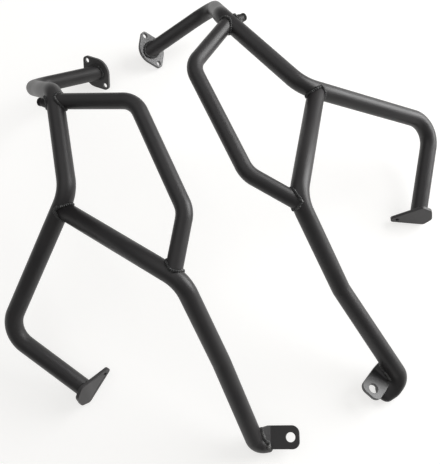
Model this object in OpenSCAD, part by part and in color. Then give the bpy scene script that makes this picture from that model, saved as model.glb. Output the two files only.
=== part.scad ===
// A pair of motorcycle crash bars, lying on their mounting ends as a left and a right cage.
// Each bar is a main tube from a two-bolt flange to a pointed front plate, a lower tube
// that branches off it to a bent tab, and a thinner loop tube that braces the two.

/* [Tubes] */
// Outer diameter of the main and lower tubes
tube_d = 25; // [22:0.5:28]
// Outer diameter of the loop tube
loop_d = 22; // [18:0.5:24]
// Wall of every tube
tube_wall = 2; // [1.5:0.25:3]
// Centre-line radius of the main tube's bends
main_bend = 38; // [34:1:44]
// Centre-line radius of the loop tube's bends
loop_bend = 34; // [28:1:44]
// Centre-line radius of the lower tube's bends
lower_bend = 38; // [32:1:44]
// Centre-line radius of the hook at the lower tube's end
hook_bend = 18; // [16:1:20]
// Thickness of the cap that closes the hook
cap_t = 3; // [2:0.5:4]

/* [Joints] */
// Distance from the shoulder corner to the loop tube, along the main tube
loop_at = 15; // [12:1:40]
// Distance from the waist corner to the lower tube, along the main tube
lower_at = 25; // [18:1:34]
// Leg of the weld beads
weld = 3.5; // [2.5:0.25:4.5]

/* [Flange] */
// Thickness of the two-bolt flange
flange_t = 5; // [4:0.5:8]
// Radius of the flange round the tube
flange_r = 25; // [22:0.5:27]
// Radius of the flange's ears
ear_r = 7.5; // [6:0.5:9]
// Distance between the two bolt holes
bolt_pitch = 52; // [48:1:60]
// Diameter of the two bolt holes
bolt_hole_d = 8.5; // [6.5:0.5:10]

/* [Front plate] */
// Thickness of the pointed front plate
plate_t = 5; // [3:0.5:6]
// Width of the front plate at the tube
plate_w = 40; // [38:1:44]
// Length of the front plate from the tube's axis to its tip
plate_nose = 42; // [38:1:50]
// Length of the front plate from the tube's axis to its heel
plate_heel = 20; // [18:1:24]
// Radius of the front plate's tip
plate_tip_r = 4.5; // [4:0.25:6]
// Distance of the small hole from the plate's tip
plate_hole_in = 10; // [8:0.5:12]
// Diameter of the small hole
plate_hole_d = 5; // [3:0.5:6]
// Lean of the front plate away from upright, in degrees
plate_lean = 16; // [10:1:22]
// Dip of the front plate's nose towards the floor, in degrees
plate_dip = 14; // [8:1:16]

/* [Lower tab] */
// Thickness of the bent tab
tab_t = 5; // [4:0.5:6]
// Width of the tab
tab_w = 31; // [26:1:36]
// Length of the tab's flat part
tab_l = 37; // [34:1:46]
// Radius of the tab's free corners
tab_corner_r = 10; // [6:0.5:12]
// Inner radius of the tab's bend
tab_bend_r = 4; // [3:0.5:6]
// Angle between the tab's flat part and its leg, in degrees
tab_turn = 50; // [40:1:60]
// Length of the tab's leg before it is cut to the tube
tab_leg = 16; // [14:1:20]
// Distance of the tab's hole from its outer edge
tab_hole_in = 12; // [10:0.5:15]
// Diameter of the tab's hole
tab_hole_d = 13; // [8.5:0.5:14]

/* [Rubber stop] */
// Distance of the stop from the tube's axis to its steel end
stop_l = 22; // [16:1:28]
// Diameter of the stop at the tube's axis
stop_base_d = 22; // [18:0.5:24]
// Diameter of the stop at its steel end
stop_end_d = 12; // [10:0.5:14]
// Height of the rubber bung
bung_h = 6; // [4:0.5:9]
// Distance from the loop tube's joint to the stop, along the main tube
stop_at = 4; // [0:1:10]

/* [Hidden] */
$fn = 64;
coat = [0.16, 0.16, 0.17];
bead = [0.27, 0.27, 0.28];
rubber = [0.05, 0.05, 0.05];

// A bent length comes out of the bender a hair thicker than the straight
bend_swell = 0.06;
bend_lap = 0.5;

// Heights of the front plate's and the flange's middles that rest their lowest edges on the floor
foot_bead = 0.7 * weld;
plate_z = cos(plate_lean) * max(1.22 * (tube_d / 2 + foot_bead),
                                plate_w / 2 * cos(plate_dip) - 0.35 * plate_heel * sin(plate_dip));
function flange_z(up, row) =
    let (u = up[2] / norm(up), s = sqrt(1 - u * u))
    flange_t * u + max(flange_r * s, bolt_pitch / 2 * abs(row[2]) / norm(row) + ear_r * s);
hook_z = tube_d / 2;

// Which way the flange's tube side faces and how its two holes lie
left_flange_up = [-45, -68, 58];
left_flange_row = [50, -73, -47];
right_flange_up = [64, -22, 73];
right_flange_row = [36, -76, -54];

// Corner points of the tubes' centre lines, from the flange to the front plate
left_main = [[-210, 276, flange_z(left_flange_up, left_flange_row)], [-310, 230, 60], [-232, 121, 189],
             [-213, -32, 181], [-330, -177, 54], [-226, -263, plate_z]];
left_loop_mid = [[-115, 73, 220], [-59, -87, 210]];
left_lower_mid = [[-70, -171, 191], [-32, -257, 105], [8, -357, hook_z]];
left_loop_end_at = -14;
left_hook = [17, 2, 0];
left_plate = [80, -60];
left_tab_at = [27, -348, 16];
left_tab_out = [100, -9, 14];
left_tab_up = [-20, 0, 98];
left_stop = [-90, 34, -18];

right_main = [[-110, 316, flange_z(right_flange_up, right_flange_row)], [5, 368, 57], [12, 233, 184],
              [113, 102, 179], [328, 94, 60], [290, -41, plate_z]];
right_loop_mid = [[-37, 126, 213], [22, -37, 198]];
right_lower_mid = [[84, -72, 185], [137, -172, 97], [217, -287, hook_z]];
right_loop_end_at = 8;
right_hook = [-24, -12, 0];
right_plate = [-13, -99];
right_tab_at = [190, -280, 16];
right_tab_out = [-66, -66, 36];
right_tab_up = [30, 18, 92];
right_stop = [78, 54, -18];

function unit(v) = v / norm(v);
function turn(a, b, c) = acos(unit(b - a) * unit(c - b));
function setback(p, i, r) = i == 0 || i == len(p) - 1 ? 0 : r * tan(turn(p[i - 1], p[i], p[i + 1]) / 2);
function along(p, i, s) = p[i] + s * unit(p[i + 1] - p[i]);
function across(v) = abs(v[2]) < 0.9 * norm(v) ? [0, 0, 1] : [1, 0, 0];
// Children stand at o with their z axis along n and their x axis nearest to a
module place(o, n, a) {
    z = unit(n);
    y = unit(cross(z, a));
    x = cross(y, z);
    multmatrix([[x[0], y[0], z[0], o[0]], [x[1], y[1], z[1], o[1]], [x[2], y[2], z[2], o[2]]])
        children();
}

module rod(a, b, d, past = 0) {
    place(a - past * unit(b - a), b - a, across(b - a)) cylinder(h = norm(b - a) + 2 * past, d = d);
}

// Part of a ring that joins the two straights at corner b and laps a little over both
module elbow(a, b, c, r, d) {
    u = unit(b - a);
    v = unit(c - b);
    inward = unit(v - (v * u) * u);
    o = b - u * r * tan(turn(a, b, c) / 2) + inward * r;
    e = bend_lap / r * 180 / PI;
    place(o, cross(u, inward), -inward) rotate(-e)
        rotate_extrude(angle = turn(a, b, c) + 2 * e) translate([r, 0]) circle(d = d + 2 * bend_swell);
}

// Solid bar along the corner points p; radii gives one bend radius for each inner corner
module bent_rod(p, radii, d, past = 0) {
    last = len(p) - 1;
    r = [for (i = [0:last]) i == 0 || i == last ? 0 : radii[i - 1]];
    for (i = [0:last - 1]) {
        u = unit(p[i + 1] - p[i]);
        from = p[i] + u * (i == 0 ? -past : setback(p, i, r[i]));
        to = p[i + 1] - u * (i == last - 1 ? -past : setback(p, i + 1, r[i + 1]));
        rod(from, to, d);
    }
    for (i = [1:last - 1]) elbow(p[i - 1], p[i], p[i + 1], r[i], d);
}

// Paths of the three tubes of one bar; the branches start and end on the centre lines they join
main_radii = [for (i = [0:3]) main_bend];
loop_radii = [loop_bend, loop_bend];
lower_radii = [lower_bend, lower_bend, hook_bend];
function lower_path(main, mid, hook) =
    concat([along(main, 3, lower_at)], mid, [mid[2] + hook]);
// The loop tube ends on the lower tube, at a distance before (less than 0) or past its first corner
function loop_path(main, mid, lower, at) =
    concat([along(main, 2, loop_at)], mid, [lower[1] + at * unit(at < 0 ? lower[1] - lower[0] : lower[2] - lower[1])]);
function plate_normal(h) = [h[0] / norm(h) * cos(plate_lean), h[1] / norm(h) * cos(plate_lean), sin(plate_lean)];

left_lower = lower_path(left_main, left_lower_mid, left_hook);
left_loop = loop_path(left_main, left_loop_mid, left_lower, left_loop_end_at);
right_lower = lower_path(right_main, right_lower_mid, right_hook);
right_loop = loop_path(right_main, right_loop_mid, right_lower, right_loop_end_at);

// Everything past the flat face through o whose normal is n
module beyond(o, n) {
    place(o, n, across(n)) translate([-80, -80, 0]) cube([160, 160, 120]);
}

module main_rod(main, d, past = 0) {
    bent_rod(main, main_radii, d, past);
}

// The main tube is cut flush with the flange at one end and with the front plate at the other
module main_tube(main, up, h) {
    color(coat) difference() {
        main_rod(main, tube_d, tube_d);
        main_rod(main, tube_d - 2 * tube_wall, tube_d + 1);
        beyond(main[0], -up);
        beyond(main[5], plate_normal(h));
    }
}

module lower_tube(main, lower) {
    color(coat) difference() {
        bent_rod(lower, lower_radii, tube_d);
        bent_rod(lower, lower_radii, tube_d - 2 * tube_wall, 1);
        main_rod(main, tube_d);
    }
}

module loop_tube(main, loop, lower) {
    color(coat) difference() {
        bent_rod(loop, loop_radii, loop_d);
        bent_rod(loop, loop_radii, loop_d - 2 * tube_wall, 1);
        main_rod(main, tube_d);
        bent_rod(lower, lower_radii, tube_d);
    }
}

module end_cap(lower) {
    color(coat) place(lower[4], lower[4] - lower[3], [0, 0, 1]) cylinder(h = cap_t, d = tube_d);
}

// Points of an arc from angle a to angle b round c
function arc(c, r, a, b, n = 12) = [for (i = [0:n]) c + r * [cos(a + (b - a) * i / n), sin(a + (b - a) * i / n)]];

// Two-bolt flange, with x along the line of its holes
module flange_outline() {
    s = bolt_pitch / 2;
    f = acos((flange_r - ear_r) / s);
    polygon(concat(arc([s, 0], ear_r, -f, f), arc([0, 0], flange_r, f, 180 - f, 10),
                   arc([-s, 0], ear_r, 180 - f, 180 + f), arc([0, 0], flange_r, 180 + f, 360 - f, 10)));
}

module flange(main, up, row) {
    color(coat) place(main[0], -up, row)
        difference() {
            linear_extrude(flange_t) flange_outline();
            for (m = [-1, 1])
                translate([m * bolt_pitch / 2, 0, -1]) cylinder(h = flange_t + 2, d = bolt_hole_d);
        }
}

// Bead round a tube from a to b where it meets the flat face through b, whose normal is n
module foot_weld(a, b, n) {
    difference() {
        intersection() {
            rod(a, b, tube_d + 2 * foot_bead, tube_d);
            place(b - foot_bead * unit(n), n, across(n)) translate([-80, -80, 0]) cube([160, 160, foot_bead]);
        }
        rod(a, b, tube_d, 2 * tube_d);
    }
}

module flange_weld(main, up) {
    color(bead) foot_weld(along(main, 0, 1.6 * tube_d), main[0], -up);
}

// Pointed plate that closes the main tube's front end; x runs towards its tip
module front_plate_outline() {
    w = plate_w / 2;
    r = plate_tip_r;
    tip = plate_nose - r;
    shoulder = -plate_heel * 0.35;
    f = atan2(tip - shoulder, w - r);
    polygon(concat(arc([tip, 0], r, -f, f, 10),
                   [[shoulder, w], [-plate_heel, w * 0.48], [-plate_heel, -w * 0.48], [shoulder, -w]]));
}

module front_plate(main, h, side) {
    n = plate_normal(h);
    color(coat) place(main[5], n, side * cross([0, 0, 1], n)) rotate(-side * plate_dip) difference() {
        linear_extrude(plate_t) front_plate_outline();
        translate([plate_nose - plate_hole_in, 0, -1]) cylinder(h = plate_t + 2, d = plate_hole_d);
    }
}

module front_weld(main, h) {
    color(bead) foot_weld(main[5] + 1.6 * tube_d * unit(main[4] - main[5]), main[5], plate_normal(h));
}

// Bead that follows the seam where a branch meets a tube
module seam(branch_from, branch_to, branch_d) {
    difference() {
        intersection() {
            rod(branch_from, branch_to, branch_d + 2 * weld);
            children(0);
        }
        rod(branch_from, branch_to, branch_d, 1);
        children(1);
    }
}

module loop_upper_weld(main, loop) {
    color(bead) seam(loop[0], along(loop, 0, 30), loop_d) {
        main_rod(main, tube_d + 2 * weld);
        main_rod(main, tube_d);
    }
}

module loop_lower_weld(loop, lower) {
    color(bead) seam(loop[3], loop[3] + 30 * unit(loop[2] - loop[3]), loop_d) {
        bent_rod(lower, lower_radii, tube_d + 2 * weld);
        bent_rod(lower, lower_radii, tube_d);
    }
}

module lower_weld(main, lower) {
    color(bead) seam(lower[0], along(lower, 0, 40), tube_d) {
        main_rod(main, tube_d + 2 * weld);
        main_rod(main, tube_d);
    }
}

// Bent tab; x runs out to the hole and y along its bend line, with the flat part's top at z = 0
function tab_leg_at(depth, run) = [-sin(tab_turn) * depth - cos(tab_turn) * run,
                                   tab_bend_r - cos(tab_turn) * depth + sin(tab_turn) * run];

module tab_side() {
    polygon(concat([[tab_l, -tab_t], [tab_l, 0]],
                   arc([0, tab_bend_r], tab_bend_r, -90, -90 - tab_turn, 6),
                   [tab_leg_at(tab_bend_r, tab_leg), tab_leg_at(tab_bend_r + tab_t, tab_leg)],
                   arc([0, tab_bend_r], tab_bend_r + tab_t, -90 - tab_turn, -90, 6)));
}

module tab_leg_bar(grow) {
    translate([0, tab_w / 2 + grow, 0]) rotate([90, 0, 0]) linear_extrude(tab_w + 2 * grow)
        polygon([tab_leg_at(tab_bend_r - grow, -grow), tab_leg_at(tab_bend_r - grow, tab_leg + grow),
                 tab_leg_at(tab_bend_r + tab_t + grow, tab_leg + grow), tab_leg_at(tab_bend_r + tab_t + grow, -grow)]);
}

module tab_shape() {
    r = tab_corner_r;
    c = [tab_l - r, tab_w / 2 - r];
    difference() {
        translate([0, tab_w / 2, 0]) rotate([90, 0, 0]) linear_extrude(tab_w) tab_side();
        translate([0, 0, -tab_t - 1]) linear_extrude(tab_t + 2) difference() {
            translate([c[0], -tab_w]) square([2 * r, 2 * tab_w]);
            polygon(concat(arc([c[0], -c[1]], r, -90, 0), arc(c, r, 0, 90), [[c[0] - r, tab_w / 2], [c[0] - r, -tab_w / 2]]));
        }
        translate([tab_l - tab_hole_in, 0, -tab_t - 1]) cylinder(h = tab_t + 2, d = tab_hole_d);
    }
}

module tab(lower, at, out, up) {
    color(coat) difference() {
        place(at, up, out) tab_shape();
        bent_rod(lower, lower_radii, tube_d, cap_t);
    }
}

module tab_weld(lower, at, out, up) {
    color(bead) difference() {
        intersection() {
            place(at, up, out) tab_leg_bar(weld * 0.7);
            bent_rod(lower, lower_radii, tube_d + 2 * weld);
        }
        place(at, up, out) tab_shape();
        bent_rod(lower, lower_radii, tube_d, cap_t);
    }
}

// Tapered steel stop with a rubber bung, on the main tube beside the loop tube's joint
module stop_cone(grow) {
    cylinder(h = stop_l, d1 = stop_base_d + 2 * grow, d2 = stop_end_d + 2 * grow);
}

module stop_boss(main, dir) {
    color(coat) difference() {
        place(along(main, 2, loop_at + stop_at), dir, [0, 1, 0]) stop_cone(0);
        main_rod(main, tube_d);
    }
}

module rubber_bung(main, dir) {
    r = stop_end_d / 2;
    color(rubber) place(along(main, 2, loop_at + stop_at) + stop_l * unit(dir), dir, [0, 1, 0])
        rotate_extrude() difference() {
            union() {
                square([r, bung_h - r / 2]);
                translate([0, bung_h - r / 2]) square([r / 2, r / 2]);
                translate([r / 2, bung_h - r / 2]) circle(r / 2);
            }
            translate([-r, -r]) square([4 * r, r]);
        }
}

module stop_weld(main, loop, dir) {
    color(bead) difference() {
        intersection() {
            place(along(main, 2, loop_at + stop_at), dir, [0, 1, 0]) stop_cone(weld * 0.7);
            main_rod(main, tube_d + 1.4 * weld);
        }
        place(along(main, 2, loop_at + stop_at), dir, [0, 1, 0]) stop_cone(0);
        main_rod(main, tube_d);
        rod(loop[0], loop[1], loop_d + 2 * weld);
    }
}

main_tube(left_main, left_flange_up, left_plate);  // left_main_tube
loop_tube(left_main, left_loop, left_lower);  // left_loop_tube
lower_tube(left_main, left_lower);  // left_lower_tube
end_cap(left_lower);  // left_end_cap
flange(left_main, left_flange_up, left_flange_row);  // left_flange
front_plate(left_main, left_plate, 1);  // left_front_plate
tab(left_lower, left_tab_at, left_tab_out, left_tab_up);  // left_tab
stop_boss(left_main, left_stop);  // left_stop_boss
rubber_bung(left_main, left_stop);  // left_rubber_bung
flange_weld(left_main, left_flange_up);  // left_flange_weld
front_weld(left_main, left_plate);  // left_front_weld
tab_weld(left_lower, left_tab_at, left_tab_out, left_tab_up);  // left_tab_weld
loop_upper_weld(left_main, left_loop);  // left_loop_upper_weld
loop_lower_weld(left_loop, left_lower);  // left_loop_lower_weld
lower_weld(left_main, left_lower);  // left_lower_weld
stop_weld(left_main, left_loop, left_stop);  // left_stop_weld

main_tube(right_main, right_flange_up, right_plate);  // right_main_tube
loop_tube(right_main, right_loop, right_lower);  // right_loop_tube
lower_tube(right_main, right_lower);  // right_lower_tube
end_cap(right_lower);  // right_end_cap
flange(right_main, right_flange_up, right_flange_row);  // right_flange
front_plate(right_main, right_plate, -1);  // right_front_plate
tab(right_lower, right_tab_at, right_tab_out, right_tab_up);  // right_tab
stop_boss(right_main, right_stop);  // right_stop_boss
rubber_bung(right_main, right_stop);  // right_rubber_bung
flange_weld(right_main, right_flange_up);  // right_flange_weld
front_weld(right_main, right_plate);  // right_front_weld
tab_weld(right_lower, right_tab_at, right_tab_out, right_tab_up);  // right_tab_weld
loop_upper_weld(right_main, right_loop);  // right_loop_upper_weld
loop_lower_weld(right_loop, right_lower);  // right_loop_lower_weld
lower_weld(right_main, right_lower);  // right_lower_weld
stop_weld(right_main, right_loop, right_stop);  // right_stop_weld
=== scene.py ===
# Engine crash bars for a motorcycle: a left and a right bar lying on a white studio floor
import math
import random

import bmesh
import bpy
import numpy
from mathutils import Matrix, Vector
from mathutils.bvhtree import BVHTree


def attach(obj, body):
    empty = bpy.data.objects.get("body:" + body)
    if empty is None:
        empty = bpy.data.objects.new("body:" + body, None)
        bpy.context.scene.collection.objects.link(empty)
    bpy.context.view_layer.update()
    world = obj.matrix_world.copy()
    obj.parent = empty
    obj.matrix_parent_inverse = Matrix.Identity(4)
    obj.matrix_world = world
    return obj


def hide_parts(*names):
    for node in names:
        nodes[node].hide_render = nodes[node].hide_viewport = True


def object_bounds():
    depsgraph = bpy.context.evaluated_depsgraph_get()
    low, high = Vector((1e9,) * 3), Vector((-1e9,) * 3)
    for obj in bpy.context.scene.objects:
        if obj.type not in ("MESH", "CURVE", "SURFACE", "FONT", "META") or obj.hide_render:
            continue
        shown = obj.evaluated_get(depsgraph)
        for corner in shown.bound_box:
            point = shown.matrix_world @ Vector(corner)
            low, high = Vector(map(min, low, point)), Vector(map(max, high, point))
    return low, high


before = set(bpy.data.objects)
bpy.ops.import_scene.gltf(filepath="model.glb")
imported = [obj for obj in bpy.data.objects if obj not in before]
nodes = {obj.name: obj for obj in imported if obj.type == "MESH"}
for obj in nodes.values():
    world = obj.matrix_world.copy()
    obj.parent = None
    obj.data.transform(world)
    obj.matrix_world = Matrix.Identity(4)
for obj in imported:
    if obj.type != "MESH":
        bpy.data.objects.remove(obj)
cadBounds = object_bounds()
sides = ("left", "right")
print("frame loaded:", len(nodes), "CAD nodes")


# Small helpers for node trees

def newMaterial(name):
    material = bpy.data.materials.new(name)
    material.use_nodes = True
    tree = material.node_tree
    shader = tree.nodes["Principled BSDF"]
    coords = tree.nodes.new("ShaderNodeTexCoord")
    return material, tree, shader, coords.outputs["Object"]


def noiseOn(tree, vector, scale, detail, roughness=0.5):
    noise = tree.nodes.new("ShaderNodeTexNoise")
    noise.inputs["Scale"].default_value = scale
    noise.inputs["Detail"].default_value = detail
    noise.inputs["Roughness"].default_value = roughness
    tree.links.new(vector, noise.inputs["Vector"])
    return noise.outputs["Fac"]


def rangeOf(tree, value, span, target=(0.0, 1.0)):
    step = tree.nodes.new("ShaderNodeMapRange")
    step.inputs["From Min"].default_value, step.inputs["From Max"].default_value = span
    step.inputs["To Min"].default_value, step.inputs["To Max"].default_value = target
    tree.links.new(value, step.inputs["Value"])
    return step.outputs["Result"]


# Inputs 6 and 7 and output 2 are the mix node's colour sockets
def mixColours(tree, factor, first, second):
    mix = tree.nodes.new("ShaderNodeMix")
    mix.data_type = "RGBA"
    tree.links.new(factor, mix.inputs["Factor"])
    for socket, colour in ((mix.inputs[6], first), (mix.inputs[7], second)):
        if isinstance(colour, bpy.types.NodeSocket):
            tree.links.new(colour, socket)
        else:
            socket.default_value = (*colour, 1.0)
    return mix.outputs[2]


def addBump(tree, height, distance, strength, normal=None):
    bump = tree.nodes.new("ShaderNodeBump")
    bump.inputs["Distance"].default_value = distance
    bump.inputs["Strength"].default_value = strength
    tree.links.new(height, bump.inputs["Height"])
    if normal is not None:
        tree.links.new(normal, bump.inputs["Normal"])
    return bump.outputs["Normal"]


# Satin black powder coat: orange peel, faint cloudiness in gloss and tiny pale specks

coat = {
    "black": (0.0215, 0.0200, 0.0205),
    "faded": (0.0285, 0.0268, 0.0272),
    "speck": (0.060, 0.058, 0.056),
    "peelScale": 620.0,
    "peelDetail": 2.0,
    "peelDepth": 0.00016,
    "peelStrength": 0.35,
    "grainScale": 2400.0,
    "grainDetail": 1.0,
    "grainDepth": 0.00004,
    "grainStrength": 0.3,
    "cloudScale": 14.0,
    "cloudDetail": 3.0,
    "cloudSpan": (0.35, 0.65),
    "speckSpan": (0.70, 0.78),
    "speckShare": 0.8,
    "roughness": (0.40, 0.51),
    "roughSpan": (0.3, 0.7),
    "edgeRadius": 0.0009,
    "edgeSamples": 6,
}


def powderCoat(name, edges=False, peel=1.0, paintedLightScale=1.0, shine=0.5):
    material, tree, shader, where = newMaterial(name)
    cloud = noiseOn(tree, where, coat["cloudScale"], coat["cloudDetail"])
    grain = noiseOn(tree, where, coat["grainScale"], coat["grainDetail"])
    peelNoise = noiseOn(tree, where, coat["peelScale"], coat["peelDetail"])
    # paintedLightScale makes a lighter or darker copy of the same coat: painted light or painted shade,
    # not a different coat
    black, faded = ([value * paintedLightScale for value in coat[tone]] for tone in ("black", "faded"))
    base = mixColours(tree, rangeOf(tree, cloud, coat["cloudSpan"]), black, faded)
    specks = rangeOf(tree, grain, coat["speckSpan"], (0.0, coat["speckShare"]))
    tree.links.new(mixColours(tree, specks, base, coat["speck"]), shader.inputs["Base Color"])
    rough = rangeOf(tree, cloud, coat["roughSpan"], coat["roughness"])
    tree.links.new(rough, shader.inputs["Roughness"])
    rounded = None
    if edges:
        bevel = tree.nodes.new("ShaderNodeBevel")
        bevel.samples = coat["edgeSamples"]
        bevel.inputs["Radius"].default_value = coat["edgeRadius"]
        rounded = bevel.outputs["Normal"]
    normal = addBump(tree, peelNoise, coat["peelDepth"] * peel, coat["peelStrength"], rounded)
    normal = addBump(tree, grain, coat["grainDepth"], coat["grainStrength"], normal)
    tree.links.new(normal, shader.inputs["Normal"])
    shader.inputs["Specular IOR Level"].default_value = shine
    return material


# The same coat over weld ripples, paler in spots: partly where it lies thinner, partly a painted
# highlight on the ripples

weldCoat = {
    "black": (0.018, 0.018, 0.0185),
    "wearAndSheen": (0.105, 0.103, 0.100),
    "wearAndSheenSpan": 0.2,
    "spotScale": 190.0,
    "spotDetail": 3.0,
    "spotRoughness": 0.6,
    "roughness": (0.46, 0.30),
    "roughSpan": (0.35, 0.7),
    "fineScale": 1500.0,
    "fineDetail": 2.0,
    "fineDepth": 0.00012,
    "fineStrength": 0.5,
}


def weldMaterial(name, wearAndSheenShare=0.75, onset=0.52):
    material, tree, shader, where = newMaterial(name)
    spots = noiseOn(tree, where, weldCoat["spotScale"], weldCoat["spotDetail"],
                    weldCoat["spotRoughness"])
    fine = noiseOn(tree, where, weldCoat["fineScale"], weldCoat["fineDetail"])
    # Pale spots: wear of the coat together with painted highlight
    amount = rangeOf(tree, spots, (onset, onset + weldCoat["wearAndSheenSpan"]), (0.0, wearAndSheenShare))
    tone = mixColours(tree, amount, weldCoat["black"], weldCoat["wearAndSheen"])
    tree.links.new(tone, shader.inputs["Base Color"])
    rough = rangeOf(tree, spots, weldCoat["roughSpan"], weldCoat["roughness"])
    tree.links.new(rough, shader.inputs["Roughness"])
    normal = addBump(tree, fine, weldCoat["fineDepth"], weldCoat["fineStrength"])
    tree.links.new(normal, shader.inputs["Normal"])
    return material


# Moulded rubber of the bung: dull, almost black, with a little dust

bungRubber = {
    "dark": (0.006, 0.006, 0.006),
    "dusty": (0.014, 0.0135, 0.013),
    "dustScale": 260.0,
    "dustDetail": 4.0,
    "dustSpan": (0.45, 0.75),
    "roughness": (0.62, 0.80),
    "roughSpan": (0.3, 0.7),
    "skinScale": 1900.0,
    "skinDetail": 2.0,
    "skinDepth": 0.00008,
    "skinStrength": 0.5,
    "shine": 0.25,
}


def rubberMaterial(name):
    material, tree, shader, where = newMaterial(name)
    dust = noiseOn(tree, where, bungRubber["dustScale"], bungRubber["dustDetail"])
    skin = noiseOn(tree, where, bungRubber["skinScale"], bungRubber["skinDetail"])
    amount = rangeOf(tree, dust, bungRubber["dustSpan"])
    tone = mixColours(tree, amount, bungRubber["dark"], bungRubber["dusty"])
    tree.links.new(tone, shader.inputs["Base Color"])
    rough = rangeOf(tree, dust, bungRubber["roughSpan"], bungRubber["roughness"])
    tree.links.new(rough, shader.inputs["Roughness"])
    normal = addBump(tree, skin, bungRubber["skinDepth"], bungRubber["skinStrength"])
    tree.links.new(normal, shader.inputs["Normal"])
    shader.inputs["Specular IOR Level"].default_value = bungRubber["shine"]
    return material


tubeCoat = powderCoat("tubePowderCoat")
plateCoat = powderCoat("platePowderCoat", edges=True, peel=0.8)
glossCoat = powderCoat("glossPowderCoat", edges=True, peel=0.8, shine=0.95)
beadCoat = weldMaterial("weldPowderCoat")
# Tab beads: a paler copy of the weld coat, painted highlight for the light these beads catch
tabBeadHighlightCoat = weldMaterial("tabWeldPaintedHighlightCoat", wearAndSheenShare=1.0, onset=0.40)
bungCoat = rubberMaterial("bungRubber")
# Boss: a darker copy of the same coat, painted shade for the boss looking less lit than the tubes
shadedBossCoat = powderCoat("bossPowderCoatPaintedShade", edges=True, paintedLightScale=0.4, shine=0.3)
# Front plates: a lighter copy of the plate coat, painted light for the light their broad faces catch
litFrontCoat = powderCoat("frontPowderCoatPaintedLight", edges=True, peel=0.8, paintedLightScale=1.7, shine=0.6)
tabCoat = {"left": plateCoat, "right": glossCoat}

# The first word found in a node's name gives its finish
finishes = (("bung", bungCoat), ("weld", beadCoat), ("flange", glossCoat), ("plate", litFrontCoat),
            ("tab", plateCoat), ("tube", tubeCoat), ("cap", tubeCoat), ("boss", shadedBossCoat))
for name, node in nodes.items():
    finish = next(material for word, material in finishes if word in name)
    node.data.materials.clear()
    node.data.materials.append(finish)
print("materials on CAD nodes:", len(nodes))


# Small helpers for meshes

mergeDistance = 0.000001


def addPiece(name, bm, material):
    mesh = bpy.data.meshes.new(name)
    bm.to_mesh(mesh)
    bm.free()
    mesh.materials.append(material)
    piece = bpy.data.objects.new(name, mesh)
    bpy.context.scene.collection.objects.link(piece)
    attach(piece, "root")
    return piece


def applyModifiers(piece):
    seen = piece.evaluated_get(bpy.context.evaluated_depsgraph_get())
    finished = bpy.data.meshes.new_from_object(seen)
    piece.modifiers.clear()
    piece.data = finished
    return finished


def vertsIn(geometry):
    return [v for v in geometry if isinstance(v, bmesh.types.BMVert)]


def edgesIn(geometry):
    return [e for e in geometry if isinstance(e, bmesh.types.BMEdge)]


def extrudeEdges(bm, edges, offset):
    grown = bmesh.ops.extrude_edge_only(bm, edges=edges)["geom"]
    tips = vertsIn(grown)
    bmesh.ops.translate(bm, verts=tips, vec=offset)
    fresh = set(tips)
    return [e for e in edgesIn(grown) if e.verts[0] in fresh and e.verts[1] in fresh], tips


def spinEdges(bm, edges, middle, axis, angle, steps):
    return edgesIn(bmesh.ops.spin(bm, geom=edges, cent=middle, axis=axis, angle=angle, steps=steps,
                                  use_merge=False, use_duplicate=False)["geom_last"])


# Lower tubes with a hook whose end is pressed down, rounded and closed under the bent tab

lowerTube = {
    "radius": 0.0125,
    "segments": 48,
    "bendSteps": 14,
    "domeSteps": 7,
    "domeArc": 84.0,
    "pressedUpTo": (0.026, 0.042),
    "left": {
        "points": ((-0.2260, -0.0481, 0.1669), (-0.070, -0.171, 0.191), (-0.032, -0.257, 0.105),
                   (0.0055, -0.3564, 0.0125), (0.0210, -0.3545, 0.0125)),
        "bends": (0.038, 0.038, 0.0145),
        "dome": 0.0072,
        "pressed": {"from": -0.009, "to": 0.008, "height": 0.50, "spread": 1.0},
    },
    "right": {
        "points": ((0.1349, 0.1012, 0.1669), (0.084, -0.072, 0.185), (0.137, -0.172, 0.097),
                   (0.2182, -0.2885, 0.0125), (0.1915, -0.2998, 0.0125)),
        "bends": (0.038, 0.038, 0.0150),
        "dome": 0.0115,
        "pressed": {"from": -0.026, "to": -0.004, "height": 0.58, "spread": 1.22},
    },
}


def smoothRamp(value, start, end):
    share = min(max((value - start) / (end - start), 0.0), 1.0)
    return share * share * (3 - 2 * share)


def pressEnd(bm, end, heading, pressed):
    for vertex in bm.verts:
        offset = vertex.co - end
        along = offset.dot(heading)
        near = smoothRamp(along, pressed["from"], pressed["to"])
        near *= 1 - smoothRamp(vertex.co.z, *lowerTube["pressedUpTo"])
        aside = offset - heading * along
        aside.z = 0.0
        vertex.co += aside * (pressed["spread"] - 1) * near
        vertex.co.z *= 1 - (1 - pressed["height"]) * near


def closeWithDome(bm, ring, heading, depth):
    steps = lowerTube["domeSteps"]
    lifts = [math.radians(lowerTube["domeArc"] * step / steps) for step in range(steps + 1)]
    for previous, lift in zip(lifts, lifts[1:]):
        offset = heading * depth * (math.sin(lift) - math.sin(previous))
        ring, tips = extrudeEdges(bm, ring, offset)
        centre = sum((v.co for v in tips), Vector()) / len(tips)
        shrink = math.cos(lift) / math.cos(previous)
        bmesh.ops.scale(bm, verts=tips, vec=(shrink, shrink, shrink), space=Matrix.Translation(-centre))
    bmesh.ops.contextual_create(bm, geom=ring)


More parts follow.
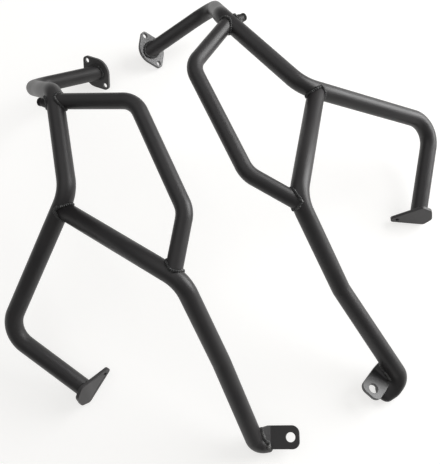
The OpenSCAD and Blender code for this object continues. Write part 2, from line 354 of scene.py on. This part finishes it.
def buildLowerTube(side):
    settings = lowerTube[side]
    points = [Vector(point) for point in settings["points"]]
    bm = bmesh.new()
    heading = (points[1] - points[0]).normalized()
    start = Matrix.Translation(points[0]) @ heading.to_track_quat("Z", "Y").to_matrix().to_4x4()
    bmesh.ops.create_circle(bm, cap_ends=True, segments=lowerTube["segments"],
                            radius=lowerTube["radius"], matrix=start)
    ring = list(bm.edges)
    here = points[0]
    for corner, after, radius in zip(points[1:], points[2:], settings["bends"]):
        onward = (after - corner).normalized()
        turn = heading.angle(onward)
        back = radius * math.tan(turn / 2)
        ring, _ = extrudeEdges(bm, ring, corner - heading * back - here)
        axis = heading.cross(onward).normalized()
        middle = corner - heading * back + axis.cross(heading) * radius
        ring = spinEdges(bm, ring, middle, axis, turn, lowerTube["bendSteps"])
        here, heading = corner + onward * back, onward
    ring, _ = extrudeEdges(bm, ring, points[-1] - here)
    closeWithDome(bm, ring, heading, settings["dome"])
    bmesh.ops.remove_doubles(bm, verts=bm.verts[:], dist=mergeDistance)
    pressEnd(bm, points[-1], heading, settings["pressed"])
    bmesh.ops.recalc_face_normals(bm, faces=bm.faces[:])
    for face in bm.faces:
        face.smooth = len(face.verts) <= 4
    piece = addPiece(side + "LowerTubeClosed", bm, tubeCoat)
    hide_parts(side + "_lower_tube", side + "_end_cap")
    return piece


# Bent tabs: a flat with one hole, a fold and a tapered leg that runs up onto the lower tube

bentTab = {
    "length": 0.037,
    "width": 0.031,
    "thickness": 0.005,
    "foldRadius": 0.004,
    "foldAngle": 50.0,
    "foldSteps": 8,
    "legDraft": 0.01,
    "cornerRadius": 0.010,
    "cornerSteps": 12,
    "holeFromEdge": 0.012,
    "holeRadius": 0.0065,
    "holeSegments": 64,
    "edgeRadius": 0.0005,
    "edgeSteps": 2,
    "edgeAngle": 40.0,
    "sameDistance": 0.00001,
    "sameDigits": 7,
    "left": {
        "at": (0.027, -0.348, 0.016),
        "out": (0.97592, -0.08895, 0.19917),
        "up": (-0.19996, 0.0, 0.97980),
        "leg": (0.0060, 0.0155),
        "taper": (0.0010, 0.0040),
    },
    "right": {
        "at": (0.190, -0.280, 0.016),
        "out": (-0.66427, -0.66248, 0.34622),
        "up": (0.30479, 0.18288, 0.93470),
        "leg": (0.0140, 0.0050),
        "taper": (0.0, 0.0020),
    },
}


def tabFrame(side):
    out = Vector(bentTab[side]["out"]).normalized()
    up = Vector(bentTab[side]["up"]).normalized()
    across = up.cross(out).normalized()
    turn = Matrix((out, across, up)).transposed().to_4x4()
    return Matrix.Translation(bentTab[side]["at"]) @ turn


def legDirection():
    fold = math.radians(bentTab["foldAngle"])
    return Vector((-math.cos(fold), 0, math.sin(fold)))


def legLength(side, across):
    near, far = bentTab[side]["leg"]
    return near + (far - near) * (across / bentTab["width"] + 0.5)


def taperedWidth(side, across):
    near, far = bentTab[side]["taper"]
    half = bentTab["width"] / 2
    return (across + half) / (2 * half) * (2 * half - near - far) - half + near


def legEnd(side, across, share=1.0):
    fold = math.radians(bentTab["foldAngle"])
    foot = Vector((-math.sin(fold), 0, 1 - math.cos(fold))) * bentTab["foldRadius"]
    end = foot + legDirection() * legLength(side, across) * share
    end.y = taperedWidth(side, across)
    return end


def roundedProfile(vertex):
    digits = bentTab["sameDigits"]
    return round(vertex.co.x, digits), round(vertex.co.z, digits)


def addCutter(matrix, depth):
    bm = bmesh.new()
    bmesh.ops.create_cone(bm, cap_ends=True, segments=bentTab["holeSegments"],
                          radius1=bentTab["holeRadius"], radius2=bentTab["holeRadius"],
                          depth=depth, matrix=matrix)
    mesh = bpy.data.meshes.new("drill")
    bm.to_mesh(mesh)
    bm.free()
    cutter = bpy.data.objects.new("drill", mesh)
    bpy.context.scene.collection.objects.link(cutter)
    return cutter


def buildTab(side):
    length, width, thick = bentTab["length"], bentTab["width"], bentTab["thickness"]
    draft = bentTab["legDraft"]
    bm = bmesh.new()
    tip = [bm.verts.new((length, -width / 2, z)) for z in (0.0, -thick)]
    edge, _ = extrudeEdges(bm, [bm.edges.new(tip)], (-length, 0, 0))
    edge = spinEdges(bm, edge, (0, 0, bentTab["foldRadius"]), (0, 1, 0),
                     math.radians(bentTab["foldAngle"]), bentTab["foldSteps"])
    _, fresh = extrudeEdges(bm, edge, legDirection() * draft)
    legTips = {roundedProfile(vertex) for vertex in fresh}
    grown = bmesh.ops.extrude_face_region(bm, geom=bm.faces[:])["geom"]
    bmesh.ops.translate(bm, verts=vertsIn(grown), vec=(0, width, 0))
    bmesh.ops.remove_doubles(bm, verts=bm.verts[:], dist=mergeDistance)
    for vertex in bm.verts:
        if roundedProfile(vertex) in legTips:
            vertex.co += legDirection() * (legLength(side, vertex.co.y) - draft)
            vertex.co.y = taperedWidth(side, vertex.co.y)
    bmesh.ops.recalc_face_normals(bm, faces=bm.faces[:])
    corners = [e for e in bm.edges
               if all(abs(v.co.x - length) < bentTab["sameDistance"] for v in e.verts)
               and abs(e.verts[0].co.z - e.verts[1].co.z) > thick / 2]
    bmesh.ops.bevel(bm, geom=corners, offset=bentTab["cornerRadius"], offset_type="OFFSET",
                    affect="EDGES", segments=bentTab["cornerSteps"], profile=0.5, material=-1)
    piece = addPiece(side + "BentTab", bm, tabCoat[side])
    holePlace = Matrix.Translation((length - bentTab["holeFromEdge"], 0, -thick / 2))
    cutter = addCutter(holePlace, thick * 3)
    cut = piece.modifiers.new("hole", "BOOLEAN")
    cut.object = cutter
    cut.solver = "EXACT"
    rounding = piece.modifiers.new("rounding", "BEVEL")
    rounding.width = bentTab["edgeRadius"]
    rounding.segments = bentTab["edgeSteps"]
    rounding.limit_method = "ANGLE"
    rounding.angle_limit = math.radians(bentTab["edgeAngle"])
    applyModifiers(piece).transform(tabFrame(side))
    bpy.data.objects.remove(cutter)
    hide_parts(side + "_tab")
    return piece


lowerTubes = {}
for side in sides:
    tube, tab = buildLowerTube(side), buildTab(side)
    lowerTubes[side] = tube
    print(side, "lower tube and tab:", len(tube.data.polygons), "and", len(tab.data.polygons), "faces")


# Pointed front plates with the corners of their wide end rounded

frontPlate = {
    "thickness": 0.005,
    "lengthSlack": 0.0002,
    "flatAngle": 1.0,
    "leastTurn": 20.0,
    "cornerRadius": 0.0034,
    "cornerSteps": 6,
}


def isPlateCorner(edge):
    return (len(edge.link_faces) == 2
            and abs(edge.calc_length() - frontPlate["thickness"]) < frontPlate["lengthSlack"]
            and math.degrees(edge.calc_face_angle_signed()) > frontPlate["leastTurn"])


def buildFrontPlate(side):
    bm = bmesh.new()
    bm.from_mesh(nodes[side + "_front_plate"].data)
    bmesh.ops.remove_doubles(bm, verts=bm.verts[:], dist=mergeDistance)
    bmesh.ops.dissolve_limit(bm, angle_limit=math.radians(frontPlate["flatAngle"]),
                             verts=bm.verts[:], edges=bm.edges[:])
    corners = [edge for edge in bm.edges if isPlateCorner(edge)]
    print(side, "front plate corners:", len(corners))
    bmesh.ops.bevel(bm, geom=corners, offset=frontPlate["cornerRadius"], offset_type="OFFSET",
                    affect="EDGES", segments=frontPlate["cornerSteps"], profile=0.5, material=-1,
                    clamp_overlap=True)
    piece = addPiece(side + "RoundedFrontPlate", bm, litFrontCoat)
    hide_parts(side + "_front_plate")


for side in sides:
    buildFrontPlate(side)


# Welded seams: each CAD bead is replaced by overlapping puddles laid along the same seam

puddle = {
    "radius": 0.0026,
    "tabRadius": 0.0034,
    "pitch": 0.0024,
    "thickness": 0.52,
    "lean": 26.0,
    "leanSpread": 5.0,
    "jitter": 0.14,
    "drift": 0.0002,
    "proud": 0.0003,
    "floorGap": 0.0002,
    "smallest": 0.0010,
    "longestStep": 0.012,
    "shortestStep": 1e-6,
    "segments": (14, 10),
    "voxel": 0.00042,
    "sectors": 48,
    "touch": 0.00016,
    "tabSteps": 14,
    "tabShare": 0.94,
    "legSteps": 24,
    "firstSeed": 40,
}

# The two pieces that each kind of closed bead joins
joinedBy = {
    "flange_weld": ("main_tube", "flange"),
    "front_weld": ("main_tube", "front_plate"),
    "loop_upper_weld": ("loop_tube", "main_tube"),
    "loop_lower_weld": ("loop_tube", "lower_tube"),
    "lower_weld": ("lower_tube", "main_tube"),
    "stop_weld": ("stop_boss", "main_tube"),
}


def surfaceOf(node):
    mesh = node.data
    return BVHTree.FromPolygons([v.co for v in mesh.vertices], [p.vertices for p in mesh.polygons])


def seamPoints(weld, firstPart, secondPart):
    surfaces = surfaceOf(firstPart), surfaceOf(secondPart)
    found = []
    for vertex in weld.data.vertices:
        gaps = [surface.find_nearest(vertex.co)[3] for surface in surfaces]
        if max(gaps) < puddle["touch"]:
            found.append(vertex.co.copy())
    return found


def seamPath(weld, firstPart, secondPart):
    seam = numpy.array(seamPoints(weld, firstPart, secondPart))
    body = numpy.array([v.co for v in weld.data.vertices])
    centre = (seam.max(0) + seam.min(0)) / 2
    spread, axes = numpy.linalg.eigh(numpy.cov((seam - centre).T))
    sectors = puddle["sectors"]

    def sectorOf(points):
        local = (points - centre) @ axes
        angle = numpy.arctan2(local[:, 1] / math.sqrt(spread[1]), local[:, 2] / math.sqrt(spread[2]))
        return ((angle + math.pi) / (2 * math.pi) * sectors).astype(int) % sectors

    seamSector, bodySector = sectorOf(seam), sectorOf(body)
    path = []
    for sector in range(sectors):
        mine = seam[seamSector == sector]
        if not len(mine):
            continue
        point = Vector(mine.mean(0))
        path.append((point, Vector(body[bodySector == sector].mean(0)) - point))
    return path


def layPuddle(bm, here, along, out, radius, chance):
    out = (out - along * out.dot(along)).normalized()
    here = here + out * puddle["proud"]
    side = along.cross(out).normalized()
    size = radius * (1 + chance.uniform(-1, 1) * puddle["jitter"])
    size = min(size, max(here.z - puddle["floorGap"], puddle["smallest"]))
    turn = Matrix((side, along, out)).transposed().to_4x4()
    tilt = puddle["lean"] + chance.uniform(-puddle["leanSpread"], puddle["leanSpread"])
    lean = Matrix.Rotation(math.radians(tilt), 4, "X")
    shape = Matrix.Diagonal((size, size * puddle["thickness"], size, 1.0))
    place = Matrix.Translation(here + side * chance.uniform(-1, 1) * puddle["drift"])
    around, rings = puddle["segments"]
    bmesh.ops.create_uvsphere(bm, u_segments=around, v_segments=rings, radius=1.0,
                              matrix=place @ turn @ lean @ shape)


def layPuddles(bm, stations, closed, radius, chance):
    count = len(stations)
    spans = count if closed else count - 1
    lengths = [(stations[(i + 1) % count][0] - stations[i][0]).length for i in range(spans)]
    total = sum(lengths)
    amount = round(total / puddle["pitch"])
    index, walked = 0, 0.0
    for number in range(amount + (0 if closed else 1)):
        target = total * number / amount
        while index < spans - 1 and walked + lengths[index] < target:
            walked += lengths[index]
            index += 1
        if lengths[index] > puddle["longestStep"]:
            continue
        share = (target - walked) / max(lengths[index], puddle["shortestStep"])
        (start, startOut), (end, endOut) = stations[index], stations[(index + 1) % count]
        before = stations[index - 1][0] if closed or index else start
        along = (end - before).normalized()
        layPuddle(bm, start.lerp(end, share), along, startOut.lerp(endOut, share), radius, chance)
    return total


def whereLegEnters(side, surface, across):
    place = tabFrame(side)
    for step in range(puddle["legSteps"] + 1):
        point = place @ legEnd(side, across, step / puddle["legSteps"])
        nearest, normal = surface.find_nearest(point)[:2]
        if (point - nearest).dot(normal) < 0:
            break
    return point


def tabStations(side):
    surface = surfaceOf(lowerTubes[side])
    out = tabFrame(side).to_3x3() @ Vector((0.0, 0.0, 1.0))
    steps = puddle["tabSteps"]
    reach = [bentTab["width"] * (step / steps - 0.5) * puddle["tabShare"] for step in range(steps + 1)]
    return [(whereLegEnters(side, surface, across), out) for across in reach]


def weldBead(nodeName, seed):
    side, kind = nodeName.split("_", 1)
    closed = kind != "tab_weld"
    if closed:
        stations = seamPath(nodes[nodeName], *(nodes[side + "_" + part] for part in joinedBy[kind]))
        radius, finish = puddle["radius"], beadCoat
    else:
        stations = tabStations(side)
        radius, finish = puddle["tabRadius"], tabBeadHighlightCoat
    bm = bmesh.new()
    total = layPuddles(bm, stations, closed, radius, random.Random(seed))
    bead = addPiece(nodeName + "_ripples", bm, finish)
    skin = bead.modifiers.new("skin", "REMESH")
    skin.mode = "VOXEL"
    skin.voxel_size = puddle["voxel"]
    skin.use_smooth_shade = True
    merged = applyModifiers(bead)
    merged.materials.clear()
    merged.materials.append(finish)
    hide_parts(nodeName)
    print("bead", nodeName, round(total * 1000), "mm,", len(merged.polygons), "faces")


welds = sorted(name for name in nodes if name.endswith("_weld"))
for number, name in enumerate(welds):
    weldBead(name, puddle["firstSeed"] + number)


# Studio: a white floor, a key lamp at the right and back, a low strip and a faint lamp overhead

studio = {
    "floorSize": 6.0,
    "floorCells": 8,
    "floorDrop": 0.0005,
    "floorColour": (0.85, 0.849, 0.845),
    "floorRoughness": 0.9,
    "floorShine": 0.1,
    "floorGlow": 0.50,
    "floorGlowColour": (1.0, 0.992, 0.975),
    "floorGlowStrength": 1.40,
    "worldFill": 0.25,
    "aim": (0.0, 0.0, 0.05),
    "key": {"energy": 39.0, "size": (1.6, 1.3), "at": (1.75, 0.75, 1.2)},
    "side": {"energy": 18.0, "size": (1.3, 0.6), "at": (1.9, 0.45, 0.48)},
    "top": {"energy": 9.0, "size": (2.2, 2.2), "at": (-0.7, 0.3, 2.2)},
}


def seenDirectly(tree):
    light = tree.nodes.new("ShaderNodeLightPath")
    seen = light.outputs["Is Camera Ray"]
    for other in ("Is Glossy Ray", "Is Transmission Ray"):
        most = tree.nodes.new("ShaderNodeMath")
        most.operation = "MAXIMUM"
        tree.links.new(seen, most.inputs[0])
        tree.links.new(light.outputs[other], most.inputs[1])
        seen = most.outputs[0]
    return seen


def floorMaterial():
    material, tree, shader, _ = newMaterial("floorWhite")
    shader.inputs["Base Color"].default_value = (*studio["floorColour"], 1.0)
    shader.inputs["Roughness"].default_value = studio["floorRoughness"]
    shader.inputs["Specular IOR Level"].default_value = studio["floorShine"]
    glow = tree.nodes.new("ShaderNodeEmission")
    glow.inputs["Color"].default_value = (*studio["floorGlowColour"], 1.0)
    glow.inputs["Strength"].default_value = studio["floorGlowStrength"]
    share = tree.nodes.new("ShaderNodeMath")
    share.operation = "MULTIPLY"
    share.inputs[1].default_value = studio["floorGlow"]
    tree.links.new(seenDirectly(tree), share.inputs[0])
    mix = tree.nodes.new("ShaderNodeMixShader")
    tree.links.new(share.outputs[0], mix.inputs["Fac"])
    tree.links.new(shader.outputs[0], mix.inputs[1])
    tree.links.new(glow.outputs[0], mix.inputs[2])
    tree.links.new(mix.outputs[0], tree.nodes["Material Output"].inputs["Surface"])
    return material


def buildFloor():
    cells = studio["floorCells"]
    bm = bmesh.new()
    bmesh.ops.create_grid(bm, x_segments=cells, y_segments=cells, size=studio["floorSize"] / 2)
    mesh = bpy.data.meshes.new("studioFloor")
    bm.to_mesh(mesh)
    bm.free()
    mesh.materials.append(floorMaterial())
    mesh.transform(Matrix.Translation((0, 0, cadBounds[0][2] - studio["floorDrop"])))
    floor = bpy.data.objects.new("studioFloor", mesh)
    bpy.context.scene.collection.objects.link(floor)


def addLamp(name, settings):
    lamp = bpy.data.lights.new(name, "AREA")
    lamp.shape = "RECTANGLE"
    lamp.size, lamp.size_y = settings["size"]
    lamp.energy = settings["energy"]
    holder = bpy.data.objects.new(name, lamp)
    holder.location = settings["at"]
    aim = Vector(studio["aim"]) - Vector(settings["at"])
    holder.rotation_euler = aim.to_track_quat("-Z", "Y").to_euler()
    bpy.context.scene.collection.objects.link(holder)


def buildWorld():
    world = bpy.data.worlds.new("studioWorld")
    bpy.context.scene.world = world
    world.use_nodes = True
    tree = world.node_tree
    light = tree.nodes.new("ShaderNodeLightPath")
    fill = (studio["worldFill"],) * 3
    tone = mixColours(tree, light.outputs["Is Camera Ray"], fill, (1.0, 1.0, 1.0))
    tree.links.new(tone, tree.nodes["Background"].inputs["Color"])


buildFloor()
buildWorld()
addLamp("keySoftbox", studio["key"])
addLamp("sideStrip", studio["side"])
addLamp("topSoftbox", studio["top"])
print("studio ready")


# Camera of the photograph: looking down at the bars from beyond their lower ends

cameraSettings = {
    "at": (-0.0190, -0.3970, 0.8878),
    "right": (0.9961, -0.0821, -0.0336),
    "forward": (0.0, 0.379, -0.9254),
    "lens": 46.96,
    "sensor": 36.0,
    "clipStart": 0.01,
}


def buildCamera():
    camera = bpy.data.cameras.new("photoCamera")
    camera.sensor_width = cameraSettings["sensor"]
    camera.lens = cameraSettings["lens"]
    camera.clip_start = cameraSettings["clipStart"]
    holder = bpy.data.objects.new("photoCamera", camera)
    right = Vector(cameraSettings["right"]).normalized()
    back = -Vector(cameraSettings["forward"]).normalized()
    up = back.cross(right).normalized()
    right = up.cross(back).normalized()
    turn = Matrix((right, up, back)).transposed().to_4x4()
    holder.matrix_world = Matrix.Translation(cameraSettings["at"]) @ turn
    bpy.context.scene.collection.objects.link(holder)
    bpy.context.scene.camera = holder


buildCamera()
bpy.context.scene.view_settings.view_transform = "Standard"
